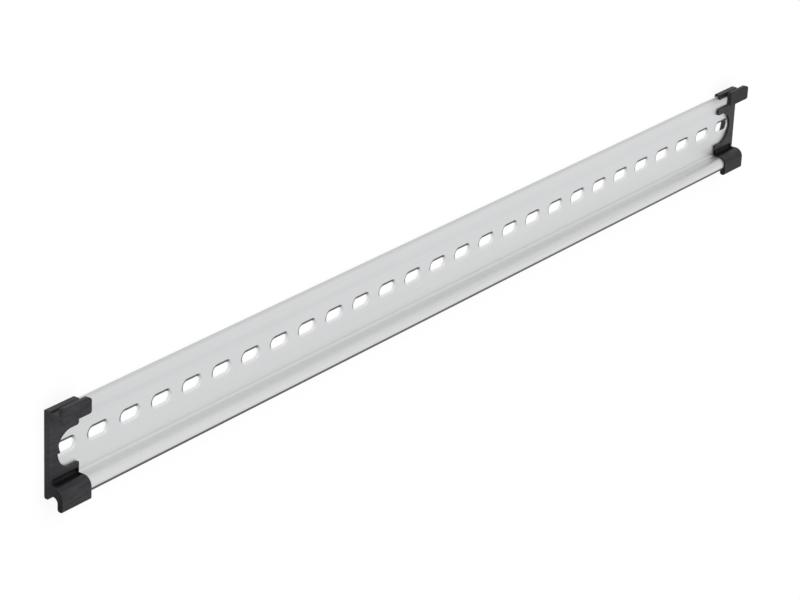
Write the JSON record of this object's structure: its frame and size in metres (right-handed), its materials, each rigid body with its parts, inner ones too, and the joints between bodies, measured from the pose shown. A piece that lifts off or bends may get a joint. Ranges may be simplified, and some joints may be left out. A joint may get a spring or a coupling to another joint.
{
  "type": "din rail",
  "caption": "Slotted metal mounting rail for clip-on devices, folded forwards along its lower side, with a moulded plastic bracket over each end.",
  "frame": {"origin": "under the middle of the whole piece, at the level of the end brackets' back faces", "axes": "+X along the rail, +Y towards the edge that is up when the rail hangs on a wall, +Z out of the rail's front, where devices clip on"},
  "size_m": [0.482, 0.041, 0.009],
  "materials": {
    "rail_metal": "satin",
    "bracket_plastic": "matte, finely grained"
  },
  "bodies": {
    "root": {"rail": "rail_metal", "end_bracket_left": "bracket_plastic", "end_bracket_right": "bracket_plastic"}
  },
  "joints": []
}
